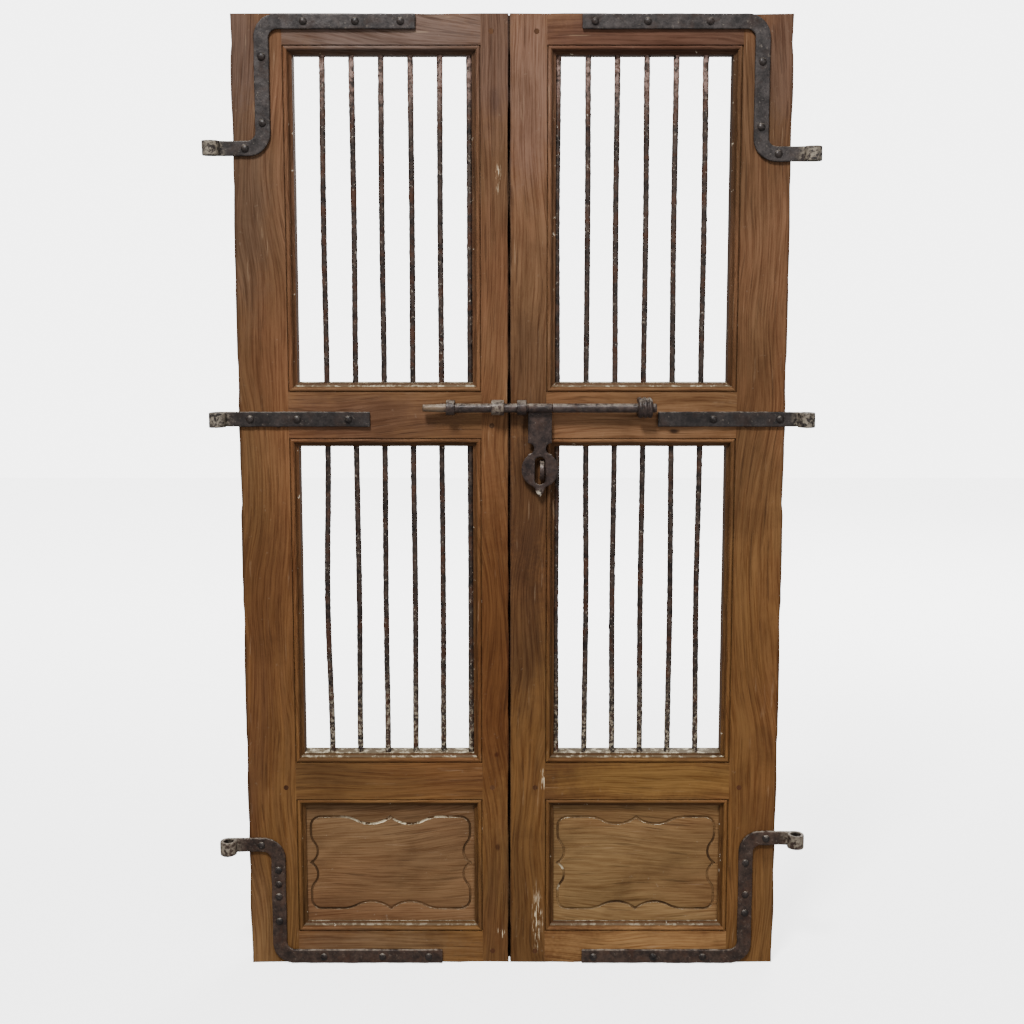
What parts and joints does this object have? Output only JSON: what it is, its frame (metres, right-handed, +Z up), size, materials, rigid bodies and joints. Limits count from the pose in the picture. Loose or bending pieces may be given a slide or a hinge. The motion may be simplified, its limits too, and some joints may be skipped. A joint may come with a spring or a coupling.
{
  "type": "double leaf grille door",
  "caption": "Old wooden double door off its frame, with barred openings, moulded bottom panels, cranked iron strap hinges and a slide bolt with hasp.",
  "frame": {"origin": "middle of the bottom of the bounding box", "axes": "+X to the viewer's right, +Y away from the viewer, +Z up"},
  "size_m": [1.058, 0.0754, 1.7],
  "materials": {
    "left_wood": "old dry oiled wood, greyed and scratched",
    "right_wood": "old dry oiled wood, lighter and scratched",
    "panel_wood": "old dry oiled wood",
    "peg_wood": "end grain",
    "bar_iron": "rusted wrought iron",
    "strap_iron": "forged iron with rust and paint remains",
    "worn_iron": "forged iron worn bare by use"
  },
  "bodies": {
    "leaves": {"left_hanging_stile": "left_wood", "left_meeting_stile": "left_wood", "left_top_rail": "left_wood", "left_middle_rail": "left_wood", "left_lower_rail": "left_wood", "left_bottom_rail": "left_wood", "left_panel": "panel_wood", "left_tenon_pegs": "peg_wood", "right_hanging_stile": "right_wood", "right_meeting_stile": "right_wood", "right_top_rail": "right_wood", "right_middle_rail": "right_wood", "right_lower_rail": "right_wood", "right_bottom_rail": "right_wood", "right_panel": "panel_wood", "right_tenon_pegs": "peg_wood", "left_bar_1": "bar_iron", "left_bar_2": "bar_iron", "left_bar_3": "bar_iron", "left_bar_4": "bar_iron", "left_bar_5": "bar_iron", "left_bar_6": "bar_iron", "right_bar_1": "bar_iron", "right_bar_2": "bar_iron", "right_bar_3": "bar_iron", "right_bar_4": "bar_iron", "right_bar_5": "bar_iron", "right_bar_6": "bar_iron", "upper_left_strap": "strap_iron", "upper_right_strap": "strap_iron", "middle_left_strap": "strap_iron", "middle_right_strap": "strap_iron", "lower_left_strap": "strap_iron", "lower_right_strap": "strap_iron", "upper_left_nails": "strap_iron", "upper_right_nails": "strap_iron", "middle_left_nails": "strap_iron", "middle_right_nails": "strap_iron", "lower_left_nails": "strap_iron", "lower_right_nails": "strap_iron", "hasp_staple": "strap_iron", "left_end_keeper": "strap_iron", "left_seam_keeper": "strap_iron", "right_seam_guide": "strap_iron", "right_end_guide": "strap_iron"},
    "bolt": {"bolt_rod": "worn_iron"},
    "hasp": {"hasp": "strap_iron"}
  },
  "joints": [
    {"name": "bolt_draw", "type": "slide", "parent": "leaves", "child": "bolt", "axis": [1, 0, 0], "range_m": [0, 0.14198]},
    {"name": "hasp_lift", "type": "hinge", "parent": "bolt", "child": "hasp", "pos_m": [0.049, -0.02025, 1.029], "axis": [-1, 0, 0], "range_deg": [0, 170]}
  ],
  "couplings": [
    {"joint": "hasp_lift", "follows": "bolt_draw", "rad_per_m": 20.896}
  ]
}
